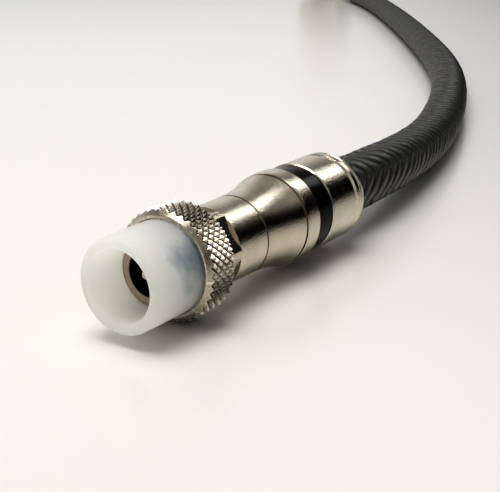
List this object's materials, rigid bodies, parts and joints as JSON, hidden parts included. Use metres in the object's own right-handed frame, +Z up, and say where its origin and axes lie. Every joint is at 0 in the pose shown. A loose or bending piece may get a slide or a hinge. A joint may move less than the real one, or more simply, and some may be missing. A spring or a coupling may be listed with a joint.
{
  "type": "cable shutter release",
  "caption": "Cable release with a knurled coupling nut, a nickel head with a sliding pin, a braided cable and a plunger handle; pressing the thumb button pushes the pin out.",
  "frame": {"origin": "centre of the coupling nut's mouth, on the head's axis; the release lies on a surface 4.75 mm below it", "axes": "+X along the head's axis from the mouth towards the cable, +Z up from the surface, +Y to the left of the head as seen from the mouth"},
  "size_m": [0.3644, 0.1982, 0.0236],
  "materials": {
    "nickel_knurl": "nickel plate, satin, diamond knurl",
    "nickel_body": "nickel plate, bright",
    "inner_brass": "turned brass, dull",
    "pin_steel": "hardened steel, polished tip",
    "cap_plastic": "milky translucent soft plastic",
    "black_ring": "black, satin",
    "braid": "black glossy braid",
    "conduit_steel": "wound steel wire",
    "spring_steel": "spring wire",
    "button_black": "moulded, satin gloss"
  },
  "bodies": {
    "frame": {"nose_tube": "inner_brass", "pin_guide": "inner_brass", "head_body": "nickel_body", "front_crimp_sleeve": "inner_brass", "front_seal_ring": "black_ring", "front_ferrule": "nickel_body", "cable_sheath": "braid", "wire_conduit": "conduit_steel", "inner_wire": "spring_steel", "rear_ferrule": "nickel_body", "rear_seal_ring": "black_ring", "rear_crimp_sleeve": "inner_brass", "plunger_housing": "nickel_body", "finger_flange": "nickel_body", "flange_nut": "nickel_knurl", "rod_guide": "inner_brass", "lock_collar": "nickel_body", "return_spring": "spring_steel"},
    "nut": {"coupling_nut": "nickel_knurl"},
    "cap": {"protective_cap": "cap_plastic"},
    "pin": {"release_pin": "pin_steel", "wire_socket": "pin_steel"},
    "plunger": {"plunger_rod": "pin_steel", "spring_seat": "pin_steel", "stop_clip": "spring_steel", "thumb_button": "button_black"},
    "lock": {"lock_screw": "nickel_knurl"}
  },
  "joints": [
    {"name": "nut_turn", "type": "hinge", "parent": "frame", "child": "nut", "pos_m": [0, 0, 0], "axis": [1, 0, 0], "continuous": true},
    {"name": "cap_pull", "type": "slide", "parent": "frame", "child": "cap", "axis": [-1, 0, 0], "range_m": [0, 0.012]},
    {"name": "plunger_press", "type": "slide", "parent": "frame", "child": "plunger", "axis": [-0.7302, -0.6544, -0.1965], "range_m": [0, 0.008], "stiffness_N_per_m": 300, "springref_m": -0.004, "deforming": ["return_spring"]},
    {"name": "pin_slide", "type": "slide", "parent": "frame", "child": "pin", "axis": [-1, 0, 0], "range_m": [0, 0.008]},
    {"name": "lock_turn", "type": "hinge", "parent": "frame", "child": "lock", "pos_m": [0.34326, 0.17859, 0.00882], "axis": [-0.1464, -0.1312, 0.9805], "range_deg": [-180, 180]}
  ],
  "couplings": [
    {"joint": "pin_slide", "follows": "plunger_press", "ratio": 1}
  ]
}
